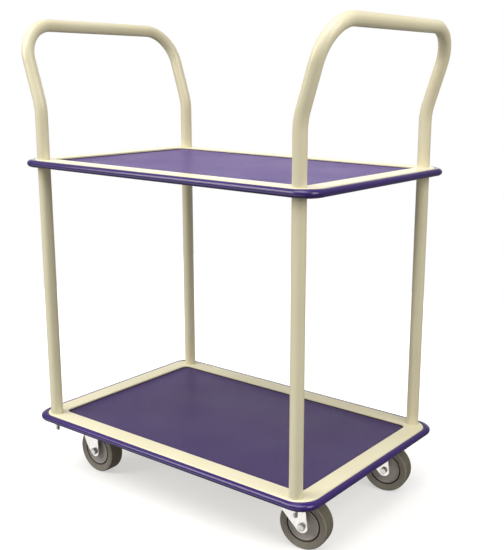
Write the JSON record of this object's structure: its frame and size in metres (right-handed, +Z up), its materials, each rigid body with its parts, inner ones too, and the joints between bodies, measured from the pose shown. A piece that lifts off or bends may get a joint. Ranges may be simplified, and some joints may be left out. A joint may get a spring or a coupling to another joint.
{
  "type": "two-tier platform trolley",
  "caption": "Two-tier platform trolley with pressed steel decks, vinyl mats and bumpers, a bent tube handle at each end, and fixed and swivel casters.",
  "frame": {"origin": "on the floor under the middle of the decks", "axes": "+Z up; +X along the length, from the fixed casters at the front to the swivel casters at the rear; +Y to the right of a person pushing the trolley forwards"},
  "size_m": [0.7808, 0.48, 0.9749],
  "materials": {
    "cream_paint": "cream powder coat, semi-gloss",
    "deck_mat": "dark purple vinyl with a fine leather grain",
    "bumper": "violet PVC extrusion, glossy",
    "zinc": "bright zinc plating",
    "tyre": "grey non-marking rubber",
    "wheel_core": "grey moulded plastic"
  },
  "bodies": {
    "trolley": {"lower_deck": "cream_paint", "upper_deck": "cream_paint", "lower_mat": "deck_mat", "upper_mat": "deck_mat", "lower_bumper": "bumper", "upper_bumper": "bumper", "front_handle": "cream_paint", "rear_handle": "cream_paint", "front_left_leg_nut": "zinc", "front_left_deck_screw": "zinc", "front_left_plate_bolt_1": "zinc", "front_left_plate_bolt_2": "zinc", "front_left_plate_bolt_3": "zinc", "front_left_plate_bolt_4": "zinc", "front_right_leg_nut": "zinc", "front_right_deck_screw": "zinc", "front_right_plate_bolt_1": "zinc", "front_right_plate_bolt_2": "zinc", "front_right_plate_bolt_3": "zinc", "front_right_plate_bolt_4": "zinc", "rear_left_leg_nut": "zinc", "rear_left_deck_screw": "zinc", "rear_left_plate_bolt_1": "zinc", "rear_left_plate_bolt_2": "zinc", "rear_left_plate_bolt_3": "zinc", "rear_left_plate_bolt_4": "zinc", "rear_right_leg_nut": "zinc", "rear_right_deck_screw": "zinc", "rear_right_plate_bolt_1": "zinc", "rear_right_plate_bolt_2": "zinc", "rear_right_plate_bolt_3": "zinc", "rear_right_plate_bolt_4": "zinc", "front_left_fixed_bracket": "zinc", "front_right_fixed_bracket": "zinc", "rear_left_swivel_plate": "zinc", "rear_left_kingpin": "zinc", "rear_right_swivel_plate": "zinc", "rear_right_kingpin": "zinc", "front_left_bush": "zinc", "front_left_axle_bolt": "zinc", "front_left_axle_nut": "zinc", "front_right_bush": "zinc", "front_right_axle_bolt": "zinc", "front_right_axle_nut": "zinc"},
    "rear_left_swivel": {"rear_left_fork": "zinc", "rear_left_bush": "zinc", "rear_left_axle_bolt": "zinc", "rear_left_axle_nut": "zinc"},
    "rear_right_swivel": {"rear_right_fork": "zinc", "rear_right_bush": "zinc", "rear_right_axle_bolt": "zinc", "rear_right_axle_nut": "zinc"},
    "front_left_wheel": {"front_left_tyre": "tyre", "front_left_wheel_core": "wheel_core"},
    "front_right_wheel": {"front_right_tyre": "tyre", "front_right_wheel_core": "wheel_core"},
    "rear_left_wheel": {"rear_left_tyre": "tyre", "rear_left_wheel_core": "wheel_core"},
    "rear_right_wheel": {"rear_right_tyre": "tyre", "rear_right_wheel_core": "wheel_core"}
  },
  "joints": [
    {"name": "front_left_wheel_spin", "type": "hinge", "parent": "trolley", "child": "front_left_wheel", "pos_m": [-0.258, -0.149, 0.05], "axis": [0, 1, 0], "continuous": true},
    {"name": "front_right_wheel_spin", "type": "hinge", "parent": "trolley", "child": "front_right_wheel", "pos_m": [-0.258, 0.149, 0.05], "axis": [0, 1, 0], "continuous": true},
    {"name": "rear_left_swivel", "type": "hinge", "parent": "trolley", "child": "rear_left_swivel", "pos_m": [0.262, -0.149, 0.115], "axis": [0, 0, 1], "continuous": true},
    {"name": "rear_left_wheel_spin", "type": "hinge", "parent": "rear_left_swivel", "child": "rear_left_wheel", "pos_m": [0.30041, -0.14223, 0.05], "axis": [-0.1736, 0.9848, 0], "continuous": true},
    {"name": "rear_right_swivel", "type": "hinge", "parent": "trolley", "child": "rear_right_swivel", "pos_m": [0.262, 0.149, 0.115], "axis": [0, 0, 1], "continuous": true},
    {"name": "rear_right_wheel_spin", "type": "hinge", "parent": "rear_right_swivel", "child": "rear_right_wheel", "pos_m": [0.30041, 0.15577, 0.05], "axis": [-0.1736, 0.9848, 0], "continuous": true}
  ]
}
